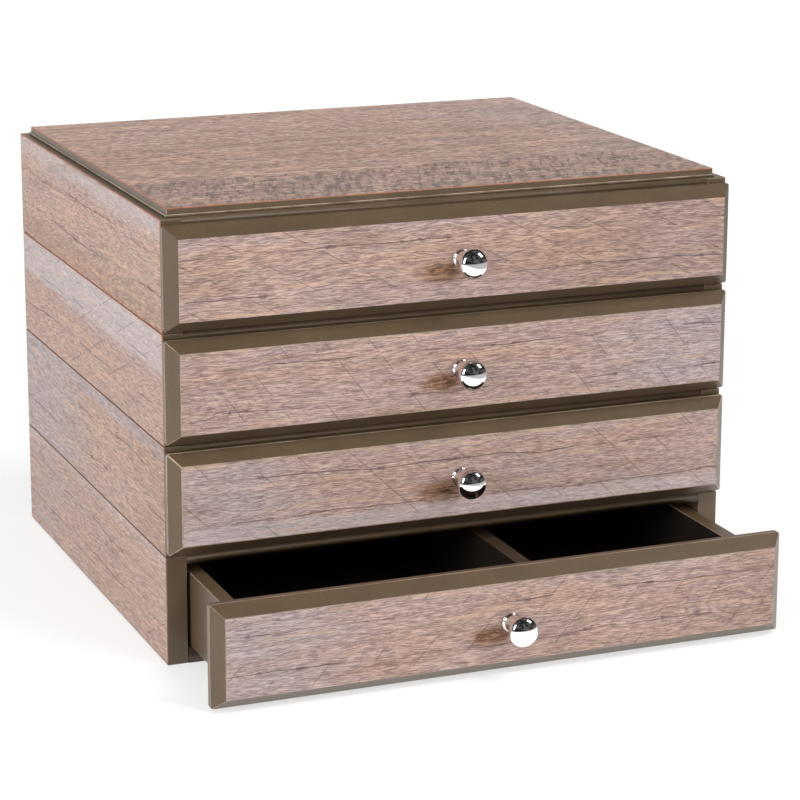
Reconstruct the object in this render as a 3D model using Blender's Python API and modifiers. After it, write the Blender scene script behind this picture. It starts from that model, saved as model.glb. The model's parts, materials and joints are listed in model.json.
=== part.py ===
"""Four-tier desktop drawer organiser: stacked one-drawer modules that nest on each other.

Metres, +Z up, +X to the right, -Y to the front. The origin is the bottom centre of the whole
object's box with the bottom drawer pulled out to OPEN. Each tier is a case of six pieces and a
drawer of eight. A case nests on the raised board of the case below, and a drawer slides on its
case's bottom panel. Tier 1 is the bottom one.
"""

import math

import bmesh
import bpy
from mathutils import Matrix, Vector

# Case
TIERS = 4
WIDTH = 0.368
DEPTH = 0.318
PITCH = 0.068
GAP = 0.0003
SIDE_THICK = 0.013
BACK_THICK = 0.006
TOP_RAIL = 0.0054
BOTTOM_RAIL = 0.0094
RAIL_DEPTH = 0.018
EDGE_ROUND = 0.0004

# Raised board on each case's top, and the recess under the next case
LEDGE = 0.006
STEP_RISE = 0.0016
STEP_PROUD = 0.0012
BOARD_RISE = 0.0052
RECESS = BOARD_RISE + 0.0004
LIP = LEDGE - STEP_PROUD - GAP

# Drawer
OPEN = 0.077
FRONT_EDGE = 0.004
FRONT_BEVEL_DEEP = 0.008
FRONT_BEVEL_WIDE = 0.007
FRONT_CORNER = 0.002
FRONT_TOP_GAP = 0.0032
FRONT_BOTTOM_GAP = 0.0016
BOX_PLAY = 0.0021
BOX_THICK = 0.0092
BOX_TOP = 0.0562
BOX_LIFT = 0.0005
BOX_DEPTH = 0.3075
BOTTOM_THICK = 0.003
BOTTOM_UP = 0.004
GROOVE = 0.004
DIVIDER_SHARE = 0.577

# Knob, turned about its own +Z, which points out of the drawer
KNOB_HEAD_R = 0.00935
KNOB_HEAD_AT = 0.018
KNOB_DOME = 0.0062
KNOB_UNDER = 0.0048
KNOB_NECK_R = 0.0034
KNOB_NECK_AT = 0.0095
KNOB_BASE_R = 0.006
KNOB_BASE_RIM = 0.0012
KNOB_STEPS = 28

# Knob screw
SCREW_R = 0.002
SCREW_HEAD_R = 0.0042
SCREW_HEAD = 0.0024
SCREW_REACH = 0.007
SLOT_WIDE = 0.0010
SLOT_DEEP = 0.0012
SCREW_STEPS = 20

FRONT_THICK = FRONT_EDGE + FRONT_BEVEL_DEEP
KNOB_LONG = KNOB_HEAD_AT + KNOB_DOME
CASE_HEIGHT = PITCH - GAP
FACE_Y = (OPEN + GAP + FRONT_THICK + GAP + KNOB_LONG - DEPTH) / 2
BACK_Y = FACE_Y + DEPTH
INNER_X = WIDTH / 2 - SIDE_THICK
BOX_X = INNER_X - BOX_PLAY
BOX_INNER_X = BOX_X - BOX_THICK
BOX_BOTTOM = BOTTOM_RAIL + BOX_LIFT
FRONT_Z = (FRONT_BOTTOM_GAP, PITCH - FRONT_TOP_GAP)
KNOB_Z = (FRONT_Z[0] + FRONT_Z[1]) / 2
FACE_PLANE_Y = FACE_Y - GAP - FRONT_THICK

FINISHES = {
    "oak_laminate": ((0.42, 0.31, 0.24, 1), 0.55, 0.0),
    "taupe_paint": ((0.16, 0.13, 0.09, 1), 0.5, 0.0),
    "chrome": ((0.86, 0.86, 0.88, 1), 0.06, 1.0),
    "zinc_steel": ((0.55, 0.55, 0.56, 1), 0.35, 1.0),
}


def clear_scene():
    for obj in list(bpy.data.objects):
        bpy.data.objects.remove(obj, do_unlink=True)


def new_collection(name):
    collection = bpy.data.collections.new(name)
    bpy.context.scene.collection.children.link(collection)
    return collection


def material(name):
    color, roughness, metallic = FINISHES[name]
    finish = bpy.data.materials.new(name)
    finish.use_nodes = True
    shader = finish.node_tree.nodes["Principled BSDF"]
    shader.inputs["Base Color"].default_value = color
    shader.inputs["Roughness"].default_value = roughness
    shader.inputs["Metallic"].default_value = metallic
    finish.diffuse_color = color
    return finish


def mesh_from(bm, name):
    mesh = bpy.data.meshes.new(name)
    bm.to_mesh(mesh)
    bm.free()
    return mesh


def box_bmesh(low, high):
    """A box between two corners."""
    low, high = Vector(low), Vector(high)
    size = high - low
    place = Matrix.Translation((low + high) / 2) @ Matrix.Diagonal((*size, 1))
    bm = bmesh.new()
    bmesh.ops.create_cube(bm, size=1, matrix=place)
    return bm


def box(name, low, high):
    return mesh_from(box_bmesh(low, high), name)


def cutter(mesh, collection):
    """A helper that shapes another piece and is never rendered."""
    obj = bpy.data.objects.new(mesh.name, mesh)
    obj.hide_render = True
    obj.display_type = "WIRE"
    collection.objects.link(obj)
    return obj


def shaped(mesh, helpers, operation, cutters):
    """The mesh after a Boolean with each helper mesh in turn."""
    work = cutter(mesh, cutters)
    for helper in helpers:
        boolean = work.modifiers.new(operation.lower(), "BOOLEAN")
        boolean.operation = operation
        boolean.solver = "EXACT"
        boolean.object = cutter(helper, cutters)
    graph = bpy.context.evaluated_depsgraph_get()
    result = bpy.data.meshes.new_from_object(work.evaluated_get(graph))
    result.name = mesh.name
    for modifier in list(work.modifiers):
        work.modifiers.remove(modifier)
    return result


def turned(name, profile, steps):
    """A closed turned solid from (radius, height) points that run from the top down the outside."""
    mesh = bpy.data.meshes.new(name)
    edges = [(i, i + 1) for i in range(len(profile) - 1)]
    mesh.from_pydata([(radius, 0, height) for radius, height in profile], edges, [])
    obj = bpy.data.objects.new(name, mesh)
    bpy.context.scene.collection.objects.link(obj)
    screw = obj.modifiers.new("screw", "SCREW")
    screw.steps = screw.render_steps = steps
    screw.use_merge_vertices = True
    screw.merge_threshold = 0.00001
    screw.use_smooth_shade = True
    graph = bpy.context.evaluated_depsgraph_get()
    result = bpy.data.meshes.new_from_object(obj.evaluated_get(graph))
    result.name = name
    bpy.data.objects.remove(obj, do_unlink=True)
    result.shade_smooth()
    result.set_sharp_from_angle(angle=math.radians(35))
    return result


def side_panel(cutters):
    """The left side of a case. Its lower inner edge is rebated over the raised board below."""
    outer_x = -WIDTH / 2
    panel = box("side_panel", (outer_x, FACE_Y, 0), (outer_x + SIDE_THICK, BACK_Y, CASE_HEIGHT))
    clear = box(
        "side_rebate",
        (outer_x + LIP, FACE_Y + LIP, -RECESS),
        (outer_x + 2 * SIDE_THICK, BACK_Y - LIP, RECESS),
    )
    return shaped(panel, [clear], "DIFFERENCE", cutters)


def mirrored(mesh, name):
    """The same piece for the other side of the centre plane."""
    bm = bmesh.new()
    bm.from_mesh(mesh)
    bmesh.ops.scale(bm, vec=(-1, 1, 1), verts=bm.verts)
    bmesh.ops.reverse_faces(bm, faces=bm.faces)
    return mesh_from(bm, name)


def top_board(cutters):
    """A plate between the sides that carries the wider raised board with its stepped edge."""
    plate = box(
        "top_board",
        (-INNER_X + GAP, FACE_Y, CASE_HEIGHT - TOP_RAIL),
        (INNER_X - GAP, BACK_Y - BACK_THICK - GAP, CASE_HEIGHT),
    )
    reach_x = WIDTH / 2 - LEDGE
    bm = box_bmesh(
        (-reach_x - STEP_PROUD, FACE_Y + LEDGE - STEP_PROUD, CASE_HEIGHT + GAP),
        (reach_x + STEP_PROUD, BACK_Y - LEDGE + STEP_PROUD, CASE_HEIGHT + STEP_RISE),
    )
    top = max(bm.faces, key=lambda face: face.calc_center_median().z)
    bmesh.ops.inset_region(bm, faces=[top], thickness=STEP_PROUD, use_even_offset=True)
    raised = bmesh.ops.extrude_face_region(bm, geom=[top])
    points = [item for item in raised["geom"] if isinstance(item, bmesh.types.BMVert)]
    bmesh.ops.delete(bm, geom=[top], context="FACES_ONLY")
    bmesh.ops.translate(bm, vec=(0, 0, BOARD_RISE - STEP_RISE), verts=points)
    board = mesh_from(bm, "raised_board")
    neck = box(
        "board_neck",
        (-INNER_X + GAP, FACE_Y + LEDGE, CASE_HEIGHT - TOP_RAIL / 2),
        (INNER_X - GAP, BACK_Y - BACK_THICK - GAP, CASE_HEIGHT + STEP_RISE / 2),
    )
    return shaped(plate, [board, neck], "UNION", cutters)


def front_rail(cutters):
    """The rail under the drawer opening. Its back lower edge is rebated like the sides."""
    rail = box(
        "front_rail",
        (-INNER_X + GAP, FACE_Y, 0),
        (INNER_X - GAP, FACE_Y + RAIL_DEPTH, BOTTOM_RAIL),
    )
    clear = box(
        "rail_rebate",
        (-WIDTH, FACE_Y + LIP, -RECESS),
        (WIDTH, FACE_Y + 2 * RAIL_DEPTH, RECESS),
    )
    return shaped(rail, [clear], "DIFFERENCE", cutters)


def bottom_panel():
    return box(
        "bottom_panel",
        (-INNER_X + GAP, FACE_Y + RAIL_DEPTH + GAP, RECESS),
        (INNER_X - GAP, BACK_Y - BACK_THICK - GAP, BOTTOM_RAIL),
    )


def back_panel(cutters):
    """The back closes the case between the sides, with a lower lip behind the raised board."""
    panel = box(
        "back_panel",
        (-INNER_X + GAP, BACK_Y - BACK_THICK, 0),
        (INNER_X - GAP, BACK_Y, CASE_HEIGHT - GAP),
    )
    low = box(
        "back_rebate", (-WIDTH, BACK_Y - 2 * BACK_THICK, -RECESS), (WIDTH, BACK_Y - LIP, RECESS)
    )
    return shaped(panel, [low], "DIFFERENCE", cutters)


def along_y(edge):
    return abs((edge.verts[0].co - edge.verts[1].co).normalized().y) > 0.9


def drawer_front(cutters):
    """A panel with a straight edge all round, a mitred bevel, a flat face and round corners.

    A screw hole goes through its centre.
    """
    back_y = FACE_Y - GAP
    low = (-WIDTH / 2, back_y - FRONT_EDGE, FRONT_Z[0])
    bm = box_bmesh(low, (WIDTH / 2, back_y, FRONT_Z[1]))
    face = min(bm.faces, key=lambda f: f.calc_center_median().y)
    bmesh.ops.inset_region(
        bm, faces=[face], thickness=FRONT_BEVEL_WIDE, depth=FRONT_BEVEL_DEEP, use_even_offset=True
    )
    panel = mesh_from(bm, "drawer_front")
    bm = box_bmesh(
        (-WIDTH / 2, back_y - 2 * FRONT_THICK, FRONT_Z[0]),
        (WIDTH / 2, back_y + FRONT_THICK, FRONT_Z[1]),
    )
    corners = list(filter(along_y, bm.edges))
    bmesh.ops.bevel(
        bm, geom=corners, offset=FRONT_CORNER, segments=4, profile=0.5, affect="EDGES"
    )
    panel = shaped(panel, [mesh_from(bm, "round_corners")], "INTERSECT", cutters)
    hole = bmesh.new()
    bmesh.ops.create_cone(
        hole,
        cap_ends=True,
        segments=SCREW_STEPS,
        radius1=SCREW_R + GAP,
        radius2=SCREW_R + GAP,
        depth=4 * FRONT_THICK,
        matrix=Matrix.Translation((0, back_y, KNOB_Z)) @ Matrix.Rotation(math.pi / 2, 4, "X"),
    )
    return shaped(panel, [mesh_from(hole, "knob_hole")], "DIFFERENCE", cutters)


def drawer_side(cutters):
    """The drawer's left side, with the groove that holds its bottom."""
    low = (-BOX_X, FACE_Y + GAP, BOX_BOTTOM)
    panel = box("drawer_side", low, (-BOX_INNER_X, FACE_Y + BOX_DEPTH, BOX_TOP))
    groove = box(
        "bottom_groove",
        (-BOX_INNER_X - GROOVE, FACE_Y - DEPTH, BOX_BOTTOM + BOTTOM_UP - GAP),
        (-BOX_INNER_X + GROOVE, FACE_Y + DEPTH, BOX_BOTTOM + BOTTOM_UP + BOTTOM_THICK + GAP),
    )
    return shaped(panel, [groove], "DIFFERENCE", cutters)


def drawer_bottom():
    reach = BOX_INNER_X + GROOVE - GAP
    low_z = BOX_BOTTOM + BOTTOM_UP
    return box(
        "drawer_bottom",
        (-reach, FACE_Y + GAP, low_z),
        (reach, FACE_Y + BOX_DEPTH, low_z + BOTTOM_THICK),
    )


def drawer_back():
    low_z = BOX_BOTTOM + BOTTOM_UP + BOTTOM_THICK + GAP
    return box(
        "drawer_back",
        (-BOX_INNER_X + GAP, FACE_Y + BOX_DEPTH - BOX_THICK, low_z),
        (BOX_INNER_X - GAP, FACE_Y + BOX_DEPTH, BOX_TOP),
    )


def drawer_divider():
    middle = -BOX_INNER_X + 2 * BOX_INNER_X * DIVIDER_SHARE
    low_z = BOX_BOTTOM + BOTTOM_UP + BOTTOM_THICK + GAP
    return box(
        "drawer_divider",
        (middle - BOX_THICK / 2, FACE_Y + GAP, low_z),
        (middle + BOX_THICK / 2, FACE_Y + BOX_DEPTH - BOX_THICK - GAP, BOX_TOP),
    )


def arc(center, radii, start, end, count):
    """Points of an ellipse's arc as (radius, height), from one angle to another in degrees."""
    points = []
    for i in range(count + 1):
        angle = math.radians(start + (end - start) * i / count)
        points.append(
            (center[0] + radii[0] * math.cos(angle), center[1] + radii[1] * math.sin(angle))
        )
    return points


def knob_profile():
    """Domed head, curved underside, waisted neck, flared base and a blind hole for the screw."""
    dome = arc((0, KNOB_HEAD_AT), (KNOB_HEAD_R, KNOB_DOME), 90, 0, 7)
    dome[0] = (0, KNOB_LONG)
    under_end = KNOB_HEAD_AT - KNOB_UNDER
    under = arc(
        (KNOB_NECK_R, KNOB_HEAD_AT), (KNOB_HEAD_R - KNOB_NECK_R, KNOB_UNDER), -20, -80, 4
    )
    neck = (KNOB_NECK_R, KNOB_NECK_AT)
    flare = arc(
        (KNOB_BASE_R, KNOB_NECK_AT),
        (KNOB_BASE_R - KNOB_NECK_R, KNOB_NECK_AT - KNOB_BASE_RIM),
        180,
        262,
        5,
    )
    hole_r = SCREW_R + GAP
    return (
        dome
        + under
        + [(KNOB_NECK_R, under_end - 0.0006), neck]
        + flare[1:]
        + [(KNOB_BASE_R, KNOB_BASE_RIM), (KNOB_BASE_R, 0), (hole_r, 0)]
        + [(hole_r, SCREW_REACH + GAP), (0, SCREW_REACH + GAP)]
    )


def screw_profile():
    """A pan-head screw. Height 0 is the underside of its head, and the shaft runs up to its tip."""
    tip = FRONT_THICK + GAP + SCREW_REACH - GAP
    head = arc((SCREW_HEAD_R - 0.001, -SCREW_HEAD + 0.001), (0.001, 0.001), 0, -90, 3)
    return (
        [(0, tip), (SCREW_R - 0.0004, tip), (SCREW_R, tip - 0.0006), (SCREW_R, 0)]
        + [(SCREW_HEAD_R, 0)]
        + head
        + [(0, -SCREW_HEAD)]
    )


def knob_screw(cutters):
    screw = turned("knob_screw", screw_profile(), SCREW_STEPS)
    slot = box(
        "screw_slot",
        (-2 * SCREW_HEAD_R, -SLOT_WIDE / 2, -2 * SCREW_HEAD),
        (2 * SCREW_HEAD_R, SLOT_WIDE / 2, -SCREW_HEAD + SLOT_DEEP),
    )
    return shaped(screw, [slot], "DIFFERENCE", cutters)


def place(name, mesh, finish, parent, collection, rounding=0.0):
    """Adds one piece that moves with its parent empty."""
    obj = bpy.data.objects.new(name, mesh)
    if not mesh.materials:
        mesh.materials.append(finish)
    mesh.materials[0] = finish
    obj.parent = parent
    collection.objects.link(obj)
    if rounding:
        bevel = obj.modifiers.new("rounded_edges", "BEVEL")
        bevel.width = rounding
        bevel.segments = 1
        bevel.limit_method = "ANGLE"
        bevel.angle_limit = math.radians(50)
    return obj


def empty(name, location, parent, collection):
    """The origin of a moving body, on its slide's axis."""
    obj = bpy.data.objects.new(name, None)
    obj.location = location
    obj.parent = parent
    collection.objects.link(obj)
    return obj


def main():
    clear_scene()
    parts = new_collection("desk_drawer_stack")
    cutters = new_collection("cutters")
    finishes = {name: material(name) for name in FINISHES}
    oak, paint = finishes["oak_laminate"], finishes["taupe_paint"]

    left = side_panel(cutters)
    box_left = drawer_side(cutters)
    case_pieces = [
        ("left_side", left, oak, EDGE_ROUND),
        ("right_side", mirrored(left, "side_panel_right"), oak, EDGE_ROUND),
        ("top_board", top_board(cutters), oak, 0),
        ("front_rail", front_rail(cutters), paint, 0),
        ("bottom_panel", bottom_panel(), paint, 0),
        ("back_panel", back_panel(cutters), paint, 0),
    ]
    drawer_pieces = [
        ("front", drawer_front(cutters), oak, 0),
        ("left_side", box_left, paint, 0),
        ("right_side", mirrored(box_left, "drawer_side_right"), paint, 0),
        ("back", drawer_back(), paint, EDGE_ROUND),
        ("bottom", drawer_bottom(), paint, 0),
        ("divider", drawer_divider(), paint, EDGE_ROUND),
    ]
    knob = turned("knob", knob_profile(), KNOB_STEPS)
    screw = knob_screw(cutters)

    below = None
    for tier in range(1, TIERS + 1):
        lift = PITCH if below else 0
        case = empty(f"tier{tier}", (0, 0, lift), below, parts)
        for piece, mesh, finish, rounding in case_pieces:
            place(f"tier{tier}_{piece}", mesh, finish, case, parts, rounding)
        pulled = -OPEN if tier == 1 else 0
        drawer = empty(f"drawer{tier}", (0, pulled, 0), case, parts)
        for piece, mesh, finish, rounding in drawer_pieces:
            place(f"drawer{tier}_{piece}", mesh, finish, drawer, parts, rounding)
        turned_pieces = [
            ("knob", knob, finishes["chrome"], FACE_PLANE_Y - GAP),
            ("knob_screw", screw, finishes["zinc_steel"], FACE_Y),
        ]
        for piece, mesh, finish, at_y in turned_pieces:
            obj = place(f"drawer{tier}_{piece}", mesh, finish, drawer, parts)
            obj.location = (0, at_y, KNOB_Z)
            obj.rotation_euler = (math.pi / 2, 0, 0)
        below = case


main()
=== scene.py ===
"""The looks of the four-tier drawer organiser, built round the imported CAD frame.

Every visible CAD node is replaced by a finished copy of its own shape with rounded edges and its
own faces for laminate, edge line and paint. Knobs are turned afresh. All textures are in
millimetres in the frame of the piece, so they move with it.
"""
import json
import math

import bmesh
import bpy
from mathutils import Matrix, Vector


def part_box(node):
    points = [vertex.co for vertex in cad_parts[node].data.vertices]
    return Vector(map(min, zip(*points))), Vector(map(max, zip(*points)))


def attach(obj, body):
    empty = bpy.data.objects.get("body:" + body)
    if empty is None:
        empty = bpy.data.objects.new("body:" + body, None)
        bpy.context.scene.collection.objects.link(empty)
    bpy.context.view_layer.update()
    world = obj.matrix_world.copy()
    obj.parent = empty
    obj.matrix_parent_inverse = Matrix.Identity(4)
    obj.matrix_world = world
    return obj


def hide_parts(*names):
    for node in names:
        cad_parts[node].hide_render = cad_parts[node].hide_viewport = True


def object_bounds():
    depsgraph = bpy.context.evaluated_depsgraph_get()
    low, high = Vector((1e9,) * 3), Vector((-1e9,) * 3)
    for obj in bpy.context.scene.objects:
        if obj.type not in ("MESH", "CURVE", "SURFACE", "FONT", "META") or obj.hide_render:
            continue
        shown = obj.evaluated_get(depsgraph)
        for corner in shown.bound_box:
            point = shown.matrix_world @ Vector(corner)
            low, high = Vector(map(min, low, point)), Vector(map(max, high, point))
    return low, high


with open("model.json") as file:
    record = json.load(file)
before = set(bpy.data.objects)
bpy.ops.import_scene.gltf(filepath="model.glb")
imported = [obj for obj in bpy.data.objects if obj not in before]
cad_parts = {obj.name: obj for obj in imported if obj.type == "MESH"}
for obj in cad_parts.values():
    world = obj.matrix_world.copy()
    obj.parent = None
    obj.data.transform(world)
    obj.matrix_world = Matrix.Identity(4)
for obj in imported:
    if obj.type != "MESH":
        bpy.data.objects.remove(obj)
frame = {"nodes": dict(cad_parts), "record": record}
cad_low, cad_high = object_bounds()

MM = 0.001
TIERS = 4
WELD = 0.02 * MM
FLAT = math.radians(0.5)

# Edge rounding, as the offset on each side of an edge
BOARD_ROUND = 0.45 * MM
CHAMFER_SOFT = 0.12 * MM
FRONT_ROUND = 0.5 * MM
STEEL_ROUND = 0.12 * MM
SHARP_EDGE = math.radians(32)

# How much longer each end of a rail or a top board's tongue is than in the CAD, to close its joint
END_CLOSE = 0.25 * MM


def srgb(red, green, blue):
    """A linear colour from 8-bit sRGB values."""
    linear = []
    for value in (red, green, blue):
        value /= 255
        linear.append(value / 12.92 if value <= 0.04045 else ((value + 0.055) / 1.055) ** 2.4)
    return (*linear, 1.0)


# Colours of the wood print: the light and the dark fibres of each kind of wood in it
WARM = srgb(213, 178, 160), srgb(149, 121, 111)
GREY = srgb(203, 185, 182), srgb(148, 130, 132)
PALE = srgb(212, 197, 196), srgb(180, 163, 163)
BROWN = srgb(184, 140, 108), srgb(114, 83, 64)
STREAK = srgb(222, 182, 150)
CRACK = srgb(80, 64, 66)
PORE = srgb(118, 98, 94)
CHAR = srgb(74, 42, 28)
EDGE_LINE = srgb(178, 112, 84)
EDGE_LINE_DULL = srgb(128, 98, 84)

# Painted parts
TAUPE = srgb(96, 78, 58)
# Darker taupe as painted shade, for the rails and dividers that sit in shade
TAUPE_PAINTED_SHADE = srgb(70, 55, 42)
# Lighter taupe for rounded edges, partly rubbed paint and partly painted highlight
TAUPE_WORN_AND_HIGHLIT = srgb(196, 172, 150)
# Near-black paint for the faces that look into the drawers
INSIDE_DARK = srgb(30, 23, 18)


class Graph:
    """Adds shader nodes to one node tree and links them."""

    def __init__(self, tree):
        self.tree = tree

    def add(self, kind, inputs=None, **settings):
        node = self.tree.nodes.new(kind)
        for name, value in settings.items():
            setattr(node, name, value)
        for name, value in (inputs or {}).items():
            self.feed(node.inputs[name], value)
        return node

    def feed(self, socket, value):
        if isinstance(value, bpy.types.NodeSocket):
            self.tree.links.new(value, socket)
        elif socket.type == "VECTOR":
            socket.default_value = value[:3]
        else:
            socket.default_value = value

    def math(self, operation, first, second=0.0, third=0.0, clamp=False):
        inputs = {0: first, 1: second, 2: third}
        return self.add("ShaderNodeMath", inputs, operation=operation, use_clamp=clamp).outputs[0]

    def smooth(self, value, start, end, low=0.0, high=1.0):
        """Eases from low at start to high at end."""
        inputs = {0: value, 1: start, 2: end, 3: low, 4: high}
        return self.add("ShaderNodeMapRange", inputs, interpolation_type="SMOOTHSTEP").outputs[0]

    def stretch(self, vector, sizes):
        """The vector in units of one feature's size along each axis."""
        inputs = {0: vector, 1: tuple(1 / size for size in sizes)}
        return self.add("ShaderNodeVectorMath", inputs, operation="MULTIPLY").outputs[0]

    def noise(self, vector, sizes=(1, 1, 1), detail=2.0, roughness=0.55):
        inputs = {
            "Vector": self.stretch(vector, sizes),
            "Scale": 1.0,
            "Detail": detail,
            "Roughness": roughness,
        }
        return self.add("ShaderNodeTexNoise", inputs).outputs[0]

    def shifted(self, vector, amount):
        """The vector moved along its third axis, where a texture is another one."""
        inputs = {0: vector, 1: (0.0, 0.0, amount)}
        return self.add("ShaderNodeVectorMath", inputs, operation="ADD").outputs[0]

    def mix_value(self, factor, first, second):
        change = self.math("SUBTRACT", second, first)
        return self.math("MULTIPLY_ADD", change, factor, first)

    def centred(self, value, amount):
        """A 0 to 1 texture as plus or minus half the amount."""
        return self.math("MULTIPLY", self.math("SUBTRACT", value, 0.5), amount)

    def mix(self, factor, first, second, blend="MIX"):
        node = self.add("ShaderNodeMix", {0: factor}, data_type="RGBA", blend_type=blend)
        self.feed(node.inputs[6], first)
        self.feed(node.inputs[7], second)
        return node.outputs[2]

    def combine(self, x, y, z):
        return self.add("ShaderNodeCombineXYZ", {0: x, 1: y, 2: z}).outputs[0]

    def split(self, vector):
        return self.add("ShaderNodeSeparateXYZ", {0: vector}).outputs

    def scaled_color(self, color, factor):
        node = self.add("ShaderNodeVectorMath", {0: color}, operation="SCALE")
        self.feed(node.inputs["Scale"], factor)
        return node.outputs[0]


def new_material(name):
    """(material, graph, Principled shader, piece coordinates in millimetres), still plain."""
    finish = bpy.data.materials.new(name)
    finish.use_nodes = True
    graph = Graph(finish.node_tree)
    shader = finish.node_tree.nodes["Principled BSDF"]
    place = graph.add("ShaderNodeTexCoord").outputs["Object"]
    return finish, graph, shader, graph.stretch(place, (MM, MM, MM))


def add_bump(graph, shader, height, depth):
    """Relief of that depth in metres where height runs from 0 to 1."""
    inputs = {"Strength": 1.0, "Distance": depth, "Height": height}
    bump = graph.add("ShaderNodeBump", inputs)
    graph.feed(shader.inputs["Normal"], bump.outputs[0])


# Wood print

def line_family(graph, place, spacing, wander, width, run, cover, seed):
    """Thin lines along u that come and go, as (line, presence, distance to it, row number).

    They are spacing apart and width wide, run is about how long one stays, and cover is the
    share of the way that none shows.
    """
    u, v, w = graph.split(place)
    bend = graph.noise(graph.shifted(place, seed), (90, 36, 1), 2.0)
    turns = graph.math("ADD", graph.math("DIVIDE", v, spacing), graph.centred(bend, wander))
    row = graph.math("FLOOR", turns)
    off = graph.math("ABSOLUTE", graph.math("SUBTRACT", graph.math("FRACT", turns), 0.5))
    away = graph.math("MULTIPLY", off, spacing)
    line = graph.smooth(away, 0.2 * width, width, 1.0, 0.0)
    along = graph.combine(u, graph.math("MULTIPLY", row, 7.31), graph.math("ADD", w, seed))
    seen = graph.smooth(graph.noise(along, (run, 1, 1), 2.0), cover, cover + 0.07)
    return graph.math("MULTIPLY", line, seen), seen, away, along


def crack_lines(graph, bent):
    """Long dark cracks along the grain, with small knots strung on them."""
    cracks, seen, away, along = line_family(
        graph, bent, spacing=25, wander=0.3, width=0.44, run=70, cover=0.46, seed=3.1
    )
    beads = graph.smooth(graph.noise(along, (8, 1, 1), 1.0), 0.6, 0.68)
    ragged = graph.centred(graph.noise(bent, (2.4, 1.4, 1), 2.0), 2.6)
    blob = graph.smooth(graph.math("ADD", away, ragged), 0.3, 1.5, 1.0, 0.0)
    beads = graph.math("MULTIPLY", graph.math("MULTIPLY", beads, blob), seen)
    hairs = line_family(
        graph, bent, spacing=8.5, wander=0.9, width=0.36, run=18, cover=0.55, seed=23.9
    )[0]
    cracks = graph.math("MULTIPLY", cracks, 0.78)
    dark = graph.math("MAXIMUM", cracks, graph.math("MULTIPLY", beads, 0.7))
    return graph.math("MAXIMUM", dark, graph.math("MULTIPLY", hairs, 0.45))


def saw_scratches(graph, place, lean):
    """Straight thin scratches that lean across the grain, all one way."""
    u, v, w = graph.split(place)
    long = graph.math("SQRT", graph.math("MULTIPLY_ADD", lean, lean, 1.0))
    along = graph.math("SUBTRACT", u, graph.math("MULTIPLY", v, lean))
    across = graph.math("ADD", v, graph.math("MULTIPLY", u, lean))
    turned = graph.combine(graph.math("DIVIDE", along, long), graph.math("DIVIDE", across, long), w)
    return line_family(
        graph, turned, spacing=22, wander=0.1, width=0.46, run=17, cover=0.47, seed=41.3
    )[0]


# Growth rings: how much longer than wide they are, the millimetres between them, and how far
# from their middle they start to fade and are gone
RING_STRETCH = 2.1
RING_GAP = 3.3
RING_FADE = 14, 24


def ring_figure(graph, place, rings):
    """Arcs of growth rings. rings is their middle along and across the grain, and their strength."""
    u, v, _ = graph.split(place)
    ring_u, ring_v, strength = graph.split(rings)
    from_u = graph.math("DIVIDE", graph.math("SUBTRACT", u, ring_u), RING_STRETCH)
    from_v = graph.math("SUBTRACT", v, ring_v)
    out = graph.add(
        "ShaderNodeVectorMath", {0: graph.combine(from_u, from_v, 0.0)}, operation="LENGTH"
    ).outputs["Value"]
    ragged = graph.centred(graph.noise(place, (9, 5, 1), 3.0), 7.0)
    turns = graph.math("FRACT", graph.math("DIVIDE", graph.math("ADD", out, ragged), RING_GAP))
    arcs = graph.smooth(turns, 0.55, 0.95)
    arcs = graph.math("MULTIPLY", arcs, graph.smooth(out, *RING_FADE, 1.0, 0.0))
    return graph.math("MULTIPLY", arcs, strength)


# How far the saw marks of the top lean along the grain for each unit across it
SAW_LEAN = 0.33

# How far the knot's stain and the painted knob shadow on it reach, along and across the grain
KNOT_AND_SHADOW_REACH = 15, 6


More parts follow.
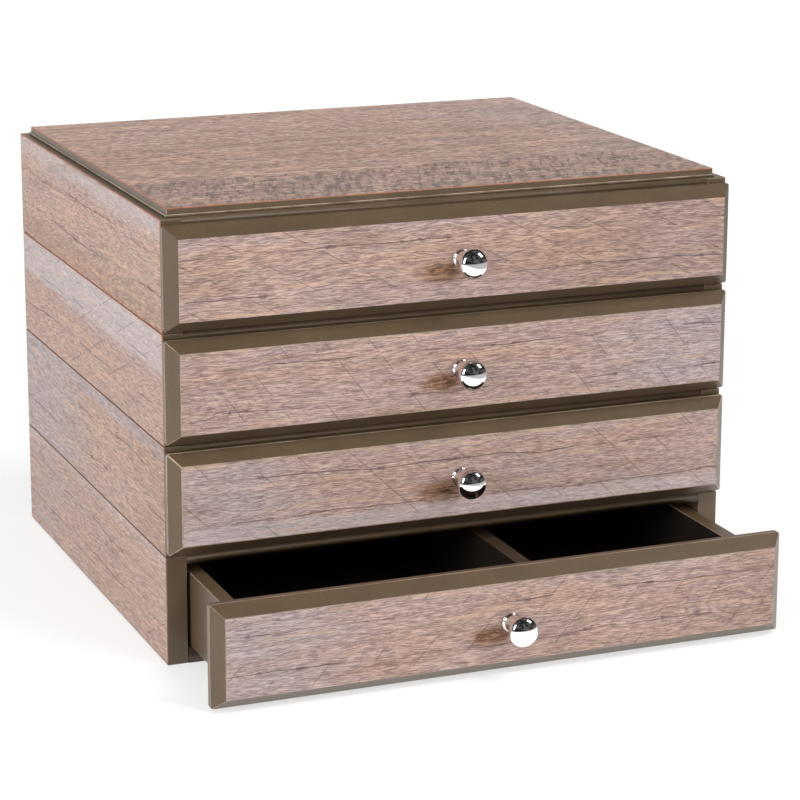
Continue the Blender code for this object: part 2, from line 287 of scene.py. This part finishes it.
def wood_group():
    """The weathered oak print. u runs along the grain, v across it, and w is the seed."""
    group = bpy.data.node_groups.new("weathered_oak_print", "ShaderNodeTree")
    for name, kind in (
        ("Place", "Vector"), ("Knot", "Vector"), ("Rings", "Vector"), ("Grey", "Float"),
        ("Pale", "Float"), ("Brown", "Float"), ("Sawn", "Float"), ("Lean", "Float"),
        ("Coarse", "Float"),
    ):
        group.interface.new_socket(name, in_out="INPUT", socket_type=f"NodeSocket{kind}")
    for name, kind in (("Color", "Color"), ("Roughness", "Float"), ("Height", "Float")):
        group.interface.new_socket(name, in_out="OUTPUT", socket_type=f"NodeSocket{kind}")
    graph = Graph(group)
    given = graph.add("NodeGroupInput").outputs
    place = given["Place"]
    u, v, w = graph.split(place)

    # The grain wanders, ripples, and closes up round the knot
    knot_u, knot_v, _ = graph.split(given["Knot"])
    from_u = graph.math("SUBTRACT", u, knot_u)
    from_v = graph.math("SUBTRACT", v, knot_v)
    oval_u = graph.math("DIVIDE", from_u, KNOT_AND_SHADOW_REACH[0])
    oval_v = graph.math("DIVIDE", from_v, KNOT_AND_SHADOW_REACH[1])
    oval = graph.combine(oval_u, oval_v, 0.0)
    ragged = graph.centred(graph.noise(place, (7, 2.2, 1), 3.0), 0.9)
    from_knot = graph.add("ShaderNodeVectorMath", {0: oval}, operation="LENGTH").outputs["Value"]
    from_knot = graph.math("ADD", from_knot, ragged)
    near_knot_and_knob_shadow = graph.smooth(from_knot, 0.0, 1.5, 1.0, 0.0)
    swirl = graph.math("MULTIPLY", graph.math("MULTIPLY", from_v, near_knot_and_knob_shadow), -0.5)
    wander = graph.centred(graph.noise(place, (150, 46, 1), 1.5), 9)
    ripple = graph.centred(graph.noise(place, (22, 8, 1), 2.0), 2.0)
    wavelet = graph.centred(graph.noise(place, (6, 2.5, 1), 1.0), 0.6)
    flow = graph.math("ADD", graph.math("ADD", wander, ripple), graph.math("ADD", wavelet, swirl))
    across = graph.math("ADD", v, flow)
    bent = graph.combine(u, across, w)
    thick = graph.combine(u, graph.math("DIVIDE", across, given["Coarse"]), w)

    # Layers of fibre, from coarse to fine
    coarse = graph.noise(thick, (16.0, 1.0, 1), 2.0, 0.6)
    fibre = graph.noise(graph.shifted(thick, 5.5), (7.0, 0.42, 1), 2.0, 0.7)
    fibre = graph.math("ADD", graph.math("MULTIPLY", fibre, 0.8), graph.math("MULTIPLY", coarse, 0.2))
    fibre = graph.smooth(fibre, 0.4, 0.6)
    hair = graph.noise(thick, (3.0, 0.28, 1), 2.0)
    middle = graph.noise(thick, (44, 2.6, 1), 3.0, 0.6)
    tint = graph.noise(thick, (20, 1.8, 1), 2.0)
    tone = graph.noise(bent, (120, 13, 1), 2.0)
    patch = graph.noise(place, (62, 34, 1), 2.0)

    # Kinds of wood: warm, weathered grey, bleached bands and brown heart
    grey = graph.math("ADD", given["Grey"], graph.centred(tone, 1.1))
    grey = graph.math("ADD", grey, graph.centred(patch, 0.8))
    grey = graph.math("ADD", grey, graph.centred(tint, 0.55), clamp=True)
    pale = graph.math("ADD", given["Pale"], graph.centred(tone, 0.5), clamp=True)
    pale = graph.math("MULTIPLY", pale, graph.smooth(given["Pale"], 0.0, 0.2))
    brown = graph.math("ADD", given["Brown"], graph.smooth(tone, 0.58, 0.78, 0.0, 0.5))
    # Brown round the knot, partly the knot's own stain and partly painted shadow of the knob
    brown = graph.math("MAXIMUM", graph.math("MULTIPLY", near_knot_and_knob_shadow, 1.5), brown, clamp=True)
    fibres = []
    for shade in (0, 1):
        color = graph.mix(grey, WARM[shade], GREY[shade])
        color = graph.mix(pale, color, PALE[shade])
        fibres.append(graph.mix(brown, color, BROWN[shade]))
    color = graph.mix(fibre, fibres[1], fibres[0])
    streaks = line_family(
        graph, bent, spacing=15, wander=1.1, width=1.6, run=46, cover=0.52, seed=11.7
    )[0]
    color = graph.mix(graph.math("MULTIPLY", streaks, 0.42), color, STREAK)
    relief = graph.math("ADD", graph.centred(hair, 0.6), graph.centred(middle, 0.6))
    relief = graph.math("MULTIPLY", relief, graph.math("SQRT", given["Coarse"]))
    shade = graph.math("ADD", 1.0, relief)

    # Saw marks across the grain
    leaned = graph.combine(graph.math("MULTIPLY_ADD", v, -SAW_LEAN, u), v, w)
    chatter = graph.smooth(graph.noise(leaned, (3.6, 17, 1), 2.0, 0.6), 0.48, 0.62)
    comb = graph.centred(graph.noise(leaned, (1.2, 14, 1), 2.0), 0.4)
    sawn = graph.math("ADD", graph.math("MULTIPLY", chatter, 0.4), comb)
    shade = graph.math("SUBTRACT", shade, graph.math("MULTIPLY", sawn, given["Sawn"]))
    color = graph.scaled_color(color, shade)

    # Dark marks
    pores = graph.smooth(graph.noise(graph.shifted(thick, 9.3), (3.4, 0.6, 1), 1.5), 0.6, 0.7)
    color = graph.mix(graph.math("MULTIPLY", pores, 0.42), color, PORE)
    arcs = graph.math("MULTIPLY", ring_figure(graph, bent, given["Rings"]), 0.26)
    scratches = graph.math("MULTIPLY", saw_scratches(graph, place, given["Lean"]), 0.5)
    dark = graph.math("MAXIMUM", crack_lines(graph, bent), graph.math("MAXIMUM", arcs, scratches))
    color = graph.mix(dark, color, CRACK)
    split = graph.smooth(graph.noise(bent, (9, 0.8, 1), 3.0, 0.7), 0.5, 0.6)
    # Darker round the knot, partly its stain and partly painted shadow of the knob
    color = graph.scaled_color(color, graph.math("MULTIPLY_ADD", near_knot_and_knob_shadow, -0.3, 1.0))
    char = graph.math("MULTIPLY", split, graph.smooth(from_knot, 0.2, 0.95, 1.0, 0.0))
    color = graph.mix(char, color, CHAR)

    height = graph.math("ADD", graph.math("MULTIPLY", fibre, 0.6), graph.math("MULTIPLY", hair, 0.5))
    height = graph.math("SUBTRACT", height, graph.math("MULTIPLY", dark, 0.7))
    height = graph.math("SUBTRACT", height, graph.math("MULTIPLY", pores, 0.25))
    rough = graph.math("ADD", 0.52, graph.centred(middle, 0.3))
    rough = graph.math("ADD", rough, graph.math("MULTIPLY", dark, 0.2))
    graph.add("NodeGroupOutput", {"Color": color, "Roughness": rough, "Height": height})
    return group


# The middle of a knot or of rings on a face that has none
FAR = (900, 900, 0)


def zone_mask(graph, u, v, place, zones):
    """The strongest of several soft-edged bands: (axis, start, end, strength) in millimetres."""
    total = None
    ragged = graph.centred(graph.noise(place, (40, 3, 1), 3.0), 7)
    for axis, start, end, strength in zones:
        along = graph.math("ADD", u if axis == "u" else v, ragged)
        band = graph.smooth(along, start, end, 0.0, strength)
        total = band if total is None else graph.math("MAXIMUM", total, band)
    return 0.0 if total is None else total


def wood_print(
    name, group, axes, middle, seed, lean=0.0, knot=FAR, rings=FAR, coarse=1.0, **zones
):
    """A laminate face. axes names the axis along the grain and the one across it.

    coarse is how much wider than usual its fibres are across the grain.
    """
    finish, graph, shader, place = new_material(name)
    sides = dict(zip("xyz", graph.split(place)))
    u = graph.math("SUBTRACT", sides[axes[0]], middle["xyz".index(axes[0])] / MM)
    v = graph.math("SUBTRACT", sides[axes[1]], middle["xyz".index(axes[1])] / MM)
    on_face = graph.combine(u, v, seed)
    print_node = graph.add("ShaderNodeGroup", node_tree=group)
    graph.feed(print_node.inputs["Place"], on_face)
    print_node.inputs["Knot"].default_value = knot
    print_node.inputs["Rings"].default_value = rings
    print_node.inputs["Lean"].default_value = lean
    print_node.inputs["Coarse"].default_value = coarse
    for kind in ("grey", "pale", "brown", "sawn"):
        mask = zone_mask(graph, u, v, on_face, zones.get(kind, ()))
        graph.feed(print_node.inputs[kind.capitalize()], mask)
    graph.feed(shader.inputs["Base Color"], print_node.outputs["Color"])
    graph.feed(shader.inputs["Roughness"], print_node.outputs["Roughness"])
    add_bump(graph, shader, print_node.outputs["Height"], 0.12 * MM)
    shader.inputs["Specular IOR Level"].default_value = 0.35
    return finish


# Other finishes

def paint(name, color, edge_color_worn_and_highlit, roughness, wear_and_highlight=(0.2, 0.55)):
    """Sprayed satin paint on fibreboard, lighter on its rounded edges,
    partly as rubbed wear and partly as painted highlight.

    Its last argument is the least and the most of that lighter edge colour that shows there.
    """
    finish, graph, shader, place = new_material(name)
    cloud = graph.noise(place, (26, 26, 26), 3.0)
    mottle = graph.noise(place, (1.1, 1.1, 1.1), 3.0, 0.65)
    shade = graph.math("ADD", 1.0, graph.centred(cloud, 0.5))
    shade = graph.math("ADD", shade, graph.centred(mottle, 0.55))
    # The rounded edges are lightened, partly as rubbed wear and partly as painted highlight
    rim = graph.add("ShaderNodeAttribute", attribute_name="rim").outputs["Fac"]
    rubbed_and_highlit = graph.smooth(graph.noise(place, (14, 14, 14), 3.0), 0.3, 0.65, *wear_and_highlight)
    rubbed_and_highlit = graph.math("MULTIPLY", rim, rubbed_and_highlit)
    graph.feed(shader.inputs["Base Color"], graph.scaled_color(graph.mix(rubbed_and_highlit, color, edge_color_worn_and_highlit), shade))
    peel = graph.noise(place, (0.9, 0.9, 0.9), 2.0)
    graph.feed(shader.inputs["Roughness"], graph.math("ADD", roughness, graph.centred(mottle, 0.25)))
    add_bump(graph, shader, peel, 0.05 * MM)
    shader.inputs["Specular IOR Level"].default_value = 0.6
    return finish


def edge_line(name, color):
    """The bare paper edge of the laminate."""
    finish, graph, shader, place = new_material(name)
    fleck = graph.noise(place, (3, 3, 3), 3.0, 0.6)
    shade = graph.math("ADD", 1.0, graph.centred(fleck, 0.9))
    graph.feed(shader.inputs["Base Color"], graph.scaled_color(color, shade))
    graph.feed(shader.inputs["Roughness"], graph.math("ADD", 0.6, graph.centred(fleck, 0.2)))
    return finish


def metal(name, color, roughness, smear, sizes):
    """Plated metal with faint smears in its polish."""
    finish, graph, shader, place = new_material(name)
    film = graph.noise(place, sizes, 3.0)
    shader.inputs["Base Color"].default_value = color
    shader.inputs["Metallic"].default_value = 1.0
    graph.feed(shader.inputs["Roughness"], graph.smooth(film, 0.35, 0.75, roughness, smear))
    add_bump(graph, shader, graph.noise(place, tuple(2 * s for s in sizes), 2.0), 0.004 * MM)
    return finish


# Pieces

def body_of(node):
    bodies = frame["record"]["behaviour"]["bodies"]
    return next(body for body, nodes in bodies.items() if node in nodes)


def clean_copy(node):
    """The CAD node's shape as a bmesh with one face for each of its planes."""
    bm = bmesh.new()
    bm.from_mesh(frame["nodes"][node].data)
    bmesh.ops.remove_doubles(bm, verts=bm.verts, dist=WELD)
    bmesh.ops.dissolve_limit(bm, angle_limit=FLAT, verts=bm.verts, edges=bm.edges)
    return bm


def round_edges(bm, width, segments, keep=None):
    """Rounds the convex edges and marks the new faces as rim. keep picks edges to leave sharp."""
    edges = []
    for edge in bm.edges:
        if edge.is_manifold and edge.is_convex and edge.calc_face_angle() > SHARP_EDGE:
            if keep is None or not keep(edge):
                edges.append(edge)
    made = bmesh.ops.bevel(
        bm, geom=edges, offset=width, segments=segments, profile=0.5, affect="EDGES",
        clamp_overlap=True,
    )
    rim = bm.loops.layers.float.new("rim")
    for face in made["faces"]:
        for loop in face.loops:
            loop[rim] = 1.0
    return set(made["faces"])


def add_piece(node, bm, finishes):
    """The finished piece, in place of its CAD node and on the same body."""
    mesh = bpy.data.meshes.new(f"{node}_finished")
    bm.to_mesh(mesh)
    bm.free()
    for finish in finishes:
        mesh.materials.append(finish)
    mesh.shade_smooth()
    obj = bpy.data.objects.new(f"{node}_finished", mesh)
    bpy.context.scene.collection.objects.link(obj)
    even = obj.modifiers.new("flat_faces", "WEIGHTED_NORMAL")
    even.keep_sharp = True
    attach(obj, body_of(node))
    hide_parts(node)
    return obj


def painted_board(node, finish, width=BOARD_ROUND, segments=3):
    bm = clean_copy(node)
    round_edges(bm, width, segments)
    add_piece(node, bm, [finish])


def close_joints(node, bm):
    """Rounds a board's edges, but its lowest part's ends stay sharp and reach the side panels."""
    low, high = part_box(node)
    middle = (low.x + high.x) / 2
    reach = max(abs(vert.co.x - middle) for vert in bm.verts if vert.co.z < low.z + WELD)
    ends = [vert for vert in bm.verts if abs(abs(vert.co.x - middle) - reach) < WELD]
    for vert in ends:
        vert.co.x += math.copysign(END_CLOSE, vert.co.x - middle)
    round_edges(bm, BOARD_ROUND, 3, lambda edge: all(vert in ends for vert in edge.verts))


def front_rail(node, finish):
    bm = clean_copy(node)
    close_joints(node, bm)
    add_piece(node, bm, [finish])


def box_board(node, paint_finish, dark_inside, inward, width=BOARD_ROUND, segments=3):
    """A board of the drawer box: near-black paint on the faces that look into the drawer."""
    bm = clean_copy(node)
    round_edges(bm, width, segments)
    for face in bm.faces:
        looks_in = max(face.normal.dot(Vector(way)) for way in inward) > 0.99
        face.material_index = 1 if looks_in else 0
    add_piece(node, bm, [paint_finish, dark_inside])


def case_side(node, outward, finishes):
    """A side panel: print outside, its paper edge on the outer chamfers, paint elsewhere."""
    bm = clean_copy(node)
    round_edges(bm, CHAMFER_SOFT, 2)
    for face in bm.faces:
        facing = face.normal.x * outward
        if facing > 0.99:
            face.material_index = 0
        elif facing > 0.2:
            face.material_index = 1
        else:
            face.material_index = 2
    add_piece(node, bm, finishes)


def top_board(node, finishes):
    """A top board: print on the raised board, its paper edge round it, paint below."""
    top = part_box(node)[1].z
    bm = clean_copy(node)
    close_joints(node, bm)
    for face in bm.faces:
        height = face.calc_center_median().z
        if face.normal.z > 0.99 and height > top - WELD:
            face.material_index = 0
        elif height > top - BOARD_ROUND:
            face.material_index = 1
        else:
            face.material_index = 2
    add_piece(node, bm, finishes)


def drawer_front(node, finishes):
    """A drawer front: print on the flat face, paint on its bevels, edges and back."""
    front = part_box(node)[0].y
    bm = clean_copy(node)
    round_edges(bm, FRONT_ROUND, 3)
    for face in bm.faces:
        on_face = face.normal.y < -0.99 and face.calc_center_median().y < front + WELD
        face.material_index = 0 if on_face else 1
    add_piece(node, bm, finishes)


def arc(middle, radii, start, end, count):
    """Points of an ellipse's arc as (radius, height), from one angle to another in degrees."""
    points = []
    for i in range(count + 1):
        angle = math.radians(start + (end - start) * i / count)
        points.append((middle[0] + radii[0] * math.cos(angle), middle[1] + radii[1] * math.sin(angle)))
    return points


KNOB_STEPS = 72
HEAD_AT = 18.0 * MM
UNDER = 4.8 * MM
NECK = 3.4 * MM
NECK_AT = 9.5 * MM
BASE = 6.0 * MM
BASE_RIM = 1.2 * MM


def knob(node, finish):
    """The knob, turned about the line through its node's middle, as fine as polish needs."""
    low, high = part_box(node)
    head = (high.x - low.x) / 2
    reach = high.y - low.y
    dome = arc((0, HEAD_AT), (head, reach - HEAD_AT), 90, 0, 22)
    dome[0] = (0, reach)
    under = arc((NECK, HEAD_AT), (head - NECK, UNDER), -8, -84, 12)
    flare = arc((BASE, NECK_AT), (BASE - NECK, NECK_AT - BASE_RIM), 180, 264, 12)
    foot = arc((BASE - 0.4 * MM, BASE_RIM / 2), (0.4 * MM, BASE_RIM / 2), 90, -90, 8)
    profile = dome + under + flare + foot + [(0, 0)]
    bm = bmesh.new()
    rings = []
    for radius, height in profile:
        count = 1 if radius == 0 else KNOB_STEPS
        ring = []
        for step in range(count):
            angle = 2 * math.pi * step / KNOB_STEPS
            place = ((low.x + high.x) / 2 + radius * math.sin(angle), high.y - height,
                     (low.z + high.z) / 2 + radius * math.cos(angle))
            ring.append(bm.verts.new(place))
        rings.append(ring)
    for upper, lower in zip(rings, rings[1:]):
        for step in range(KNOB_STEPS):
            after = (step + 1) % KNOB_STEPS
            corners = [upper[step % len(upper)], upper[after % len(upper)],
                       lower[after % len(lower)], lower[step % len(lower)]]
            bm.faces.new(list(dict.fromkeys(corners)))
    bmesh.ops.recalc_face_normals(bm, faces=bm.faces)
    obj = add_piece(node, bm, [finish])
    obj.modifiers.remove(obj.modifiers["flat_faces"])


def screw(node, finish):
    bm = clean_copy(node)
    round_edges(bm, STEEL_ROUND, 2)
    add_piece(node, bm, [finish])


# Prints. Each face has its own seed and its own zones, in millimetres from the face's middle.

# Knot below left of each knob, where the knob's shadow falls; partly painted shadow of the knob
KNOB_KNOT_AND_SHADOW = (-12, -7.5, 0)

# Zones that start before the face does, so they cover all of it
ALL_OVER = ("u", -400, -390, 0.3)
ALL_OVER_A_LITTLE = ("u", -400, -390, 0.15)

FRONT_PRINTS = {
    4: dict(
        seed=4.2, lean=0.55,
        grey=(ALL_OVER_A_LITTLE, ("u", 40, 150, 0.75), ("v", -4, -16, 0.45), ("v", 10, 24, 0.4)),
        brown=(("u", 20, 110, 0.35),),
    ),
    3: dict(
        seed=17.9, lean=1.3, rings=(-168, -6, 1.0),
        grey=(ALL_OVER, ("u", 30, 140, 0.85), ("v", 8, 24, 0.5)),
    ),
    2: dict(
        seed=33.4, lean=0.95,
        grey=(ALL_OVER, ("u", -60, -150, 0.85), ("v", 6, 24, 0.45)), pale=(("v", -13, -17, 0.75),),
    ),
    1: dict(
        seed=52.8, lean=-1.1, rings=(150, -8, 1.0),
        grey=(ALL_OVER, ("u", -50, -150, 0.95), ("v", 12, 24, 0.45)), brown=(("u", 120, 175, 0.2),),
    ),
}

SIDE_PRINTS = {
    4: dict(
        seed=61.3, lean=0.0, pale=(("v", 14, 30, 0.8),), brown=(("v", -10, -26, 0.45),),
    ),
    3: dict(
        seed=73.7, lean=0.4, pale=(("v", 7, 11, 0.95),), grey=(("v", -2, 8, 0.35),),
    ),
    2: dict(
        seed=88.1, lean=-0.6,
        grey=(("v", 24, 26, 1.0), ("u", -20, 100, 0.9)), brown=(("u", -60, -140, 0.25),),
    ),
    1: dict(seed=97.9, lean=0.5, pale=(("v", 24, 32, 0.45),), grey=(("u", -60, 120, 0.35),)),
}

TOP_PRINT = dict(
    coarse=3.4,
    grey=(("v", -70, -74, 0.4), ("u", 60, 170, 0.5)),
    brown=(("v", -70, -74, 0.4), ("v", 120, 20, 0.25)),
    sawn=(("v", -70, -74, 1.0),),
)


def build_pieces():
    group = wood_group()
    taupe = paint("taupe_paint_satin", TAUPE, TAUPE_WORN_AND_HIGHLIT, 0.42)
    # Top boards and drawer fronts: more lightening on their edges, partly wear and partly painted
    # highlight
    taupe_edge_highlit = paint("taupe_paint_worn_and_highlit_edges", TAUPE, TAUPE_WORN_AND_HIGHLIT, 0.4, (0.25, 0.8))
    # Rails and dividers: darker paint as painted shade
    taupe_painted_shade = paint("taupe_paint_painted_shade", TAUPE_PAINTED_SHADE, TAUPE, 0.55)
    dark_inside = paint("inside_dark_paint", INSIDE_DARK, INSIDE_DARK, 0.8)
    bright_line = edge_line("laminate_edge", EDGE_LINE)
    dull_line = edge_line("laminate_edge_dull", EDGE_LINE_DULL)
    chrome = metal("polished_chrome", (0.9, 0.87, 0.87, 1), 0.02, 0.09, (6, 6, 6))
    zinc = metal("zinc_plate", (0.6, 0.6, 0.62, 1), 0.25, 0.45, (1.2, 1.2, 1.2))
    for tier in range(1, TIERS + 1):
        line = bright_line if tier > 2 else dull_line
        for side, outward in (("left", -1), ("right", 1)):
            node = f"tier{tier}_{side}_side"
            low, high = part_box(node)
            settings = dict(SIDE_PRINTS[tier])
            settings["seed"] += 7.7 * (outward + 1)
            print_face = wood_print(f"{node}_print", group, "yz", (low + high) / 2, **settings)
            case_side(node, outward, [print_face, line, taupe])
        node = f"tier{tier}_top_board"
        low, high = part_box(node)
        print_face = wood_print(
            f"{node}_print", group, "xy", (low + high) / 2, seed=120 + 5.9 * tier, **TOP_PRINT
        )
        top_board(node, [print_face, line, taupe_edge_highlit])
        front_rail(f"tier{tier}_front_rail", taupe_painted_shade)
        for name in ("bottom_panel", "back_panel"):
            painted_board(f"tier{tier}_{name}", taupe)
        node = f"drawer{tier}_front"
        low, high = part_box(node)
        print_face = wood_print(
            f"{node}_print", group, "xz", (low + high) / 2, knot=KNOB_KNOT_AND_SHADOW, **FRONT_PRINTS[tier]
        )
        drawer_front(node, [print_face, taupe_edge_highlit])
        box_board(f"drawer{tier}_left_side", taupe, dark_inside, [(1, 0, 0)])
        box_board(f"drawer{tier}_right_side", taupe, dark_inside, [(-1, 0, 0)])
        box_board(f"drawer{tier}_back", taupe, dark_inside, [(0, -1, 0)], CHAMFER_SOFT, 2)
        box_board(f"drawer{tier}_divider", taupe_painted_shade, dark_inside, [(1, 0, 0), (-1, 0, 0)], CHAMFER_SOFT, 2)
        box_board(f"drawer{tier}_bottom", taupe, dark_inside, [(0, 0, 1)])
        knob(f"drawer{tier}_knob", chrome)
        screw(f"drawer{tier}_knob_screw", zinc)


# Camera, stage and light

CAMERA_LENS = 125.9
CAMERA_SHIFT = -0.0975
CAMERA_YAW = 22.02
CAMERA_PITCH = 13.53
CAMERA_ROLL = 0.11
CAMERA_PLACE = (-1.259, -4.116, 1.607)


def make_camera():
    """The photograph's view. Its place is in case widths from the case's lower left front corner."""
    side_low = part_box("tier1_left_side")[0]
    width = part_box("tier1_right_side")[1].x - side_low.x
    camera = bpy.data.objects.new("camera", bpy.data.cameras.new("camera"))
    camera.data.lens = CAMERA_LENS
    camera.data.shift_y = CAMERA_SHIFT
    camera.data.clip_start = 0.05
    camera.data.clip_end = 50
    turn = (
        Matrix.Rotation(math.radians(-CAMERA_YAW), 4, "Z")
        @ Matrix.Rotation(math.radians(90 - CAMERA_PITCH), 4, "X")
        @ Matrix.Rotation(math.radians(CAMERA_ROLL), 4, "Z")
    )
    camera.matrix_world = Matrix.Translation(side_low + width * Vector(CAMERA_PLACE)) @ turn
    bpy.context.scene.collection.objects.link(camera)
    bpy.context.scene.camera = camera


# The white table that reflections show: how far its edge is from a point behind on the left
TABLE_MIDDLE = (-1.6, 1.3, 0)
TABLE_REACH = 2.55


def make_floor():
    """A plain pale floor that keeps the object's shadow and reads white where it is unshaded."""
    bm = bmesh.new()
    bmesh.ops.create_grid(bm, x_segments=1, y_segments=1, size=6)
    mesh = bpy.data.meshes.new("floor")
    bm.to_mesh(mesh)
    bm.free()
    floor = bpy.data.objects.new("floor", mesh)
    floor.location.z = -0.2 * MM
    bpy.context.scene.collection.objects.link(floor)
    finish = bpy.data.materials.new("floor_white")
    finish.use_nodes = True
    graph = Graph(finish.node_tree)
    nodes = finish.node_tree.nodes
    nodes.remove(nodes["Principled BSDF"])
    path = graph.add("ShaderNodeLightPath").outputs
    shown = graph.math("MAXIMUM", path["Is Camera Ray"], path["Is Glossy Ray"])
    shown = graph.math("MAXIMUM", shown, path["Is Transmission Ray"])
    matte = graph.add("ShaderNodeBsdfDiffuse", {"Color": (0.5, 0.5, 0.5, 1)}).outputs[0]
    lift = graph.add("ShaderNodeEmission", {"Color": (1, 1, 1, 1)})
    place = graph.add("ShaderNodeTexCoord").outputs["Object"]
    ends = {0: place, 1: TABLE_MIDDLE}
    out = graph.add("ShaderNodeVectorMath", ends, operation="DISTANCE").outputs["Value"]
    table = graph.smooth(out, TABLE_REACH, TABLE_REACH + 0.1, 0.9, 0.05)
    level = graph.mix_value(path["Is Glossy Ray"], 0.6, table)
    graph.feed(lift.inputs["Strength"], graph.math("MULTIPLY", shown, level))
    both = graph.add("ShaderNodeAddShader", {0: matte, 1: lift.outputs[0]}).outputs[0]
    graph.feed(nodes["Material Output"].inputs["Surface"], both)
    mesh.materials.append(finish)


def make_world(ambient):
    """Even ambient light, seen white by the camera.

    Reflections show the white backdrop behind the object and a dark studio in front and above.
    """
    world = bpy.data.worlds.new("studio")
    bpy.context.scene.world = world
    world.use_nodes = True
    graph = Graph(world.node_tree)
    path = graph.add("ShaderNodeLightPath").outputs
    way = graph.add("ShaderNodeTexCoord").outputs["Generated"]
    _, back, up = graph.split(way)
    behind = graph.smooth(back, 0.2, 0.45)
    backdrop = graph.math("MULTIPLY", behind, graph.smooth(up, 0.34, 0.5, 1.0, 0.0))
    blotch = graph.noise(way, (0.35, 0.35, 0.35), 3.0, 0.6)
    gear = graph.smooth(blotch, 0.44, 0.62, 0.015, 0.12)
    room = graph.math("ADD", graph.math("MULTIPLY", backdrop, 0.9), gear)
    white = graph.math("MAXIMUM", path["Is Camera Ray"], path["Is Transmission Ray"])
    strength = graph.math("MULTIPLY", path["Is Glossy Ray"], room)
    plain = graph.math("SUBTRACT", 1.0, path["Is Glossy Ray"])
    strength = graph.math("ADD", strength, graph.math("MULTIPLY", plain, ambient))
    strength = graph.math("MAXIMUM", strength, white)
    background = world.node_tree.nodes["Background"]
    background.inputs["Color"].default_value = (1, 1, 1, 1)
    graph.feed(background.inputs["Strength"], strength)


def add_sun(name, azimuth, elevation, share, spread):
    """A soft distant lamp. share is the part of a colour's written value that it brings."""
    lamp = bpy.data.lights.new(name, "SUN")
    lamp.energy = share * math.pi
    lamp.angle = math.radians(spread)
    obj = bpy.data.objects.new(name, lamp)
    around, above = math.radians(azimuth), math.radians(elevation)
    toward = Vector(
        (math.sin(around) * math.cos(above), -math.cos(around) * math.cos(above), math.sin(above))
    )
    obj.rotation_euler = toward.to_track_quat("Z", "Y").to_euler()
    obj.visible_glossy = False
    bpy.context.scene.collection.objects.link(obj)


def add_window(name, place, target, size, energy):
    """A rectangular softbox, mostly for its reflection in the knobs."""
    lamp = bpy.data.lights.new(name, "AREA")
    lamp.shape = "RECTANGLE"
    lamp.size, lamp.size_y = size
    lamp.energy = energy
    obj = bpy.data.objects.new(name, lamp)
    obj.location = place
    obj.rotation_euler = (Vector(place) - Vector(target)).to_track_quat("Z", "Y").to_euler()
    bpy.context.scene.collection.objects.link(obj)


def make_light():
    make_world(0.5)
    add_sun("key", 38, 56, 0.27, 18)
    add_sun("left", -64, 12, 0.34, 36)
    add_sun("front", 14, 12, 0.29, 60)
    middle = (cad_low + cad_high) / 2
    add_window("window_right", (1.1, -0.7, 1.2), middle, (0.45, 0.7), 3.2)
    add_window("window_left", (-1.7, -0.75, 0.95), middle, (0.5, 1.1), 9)


build_pieces()
make_camera()
make_floor()
make_light()
view = bpy.context.scene.view_settings
view.view_transform = "Standard"
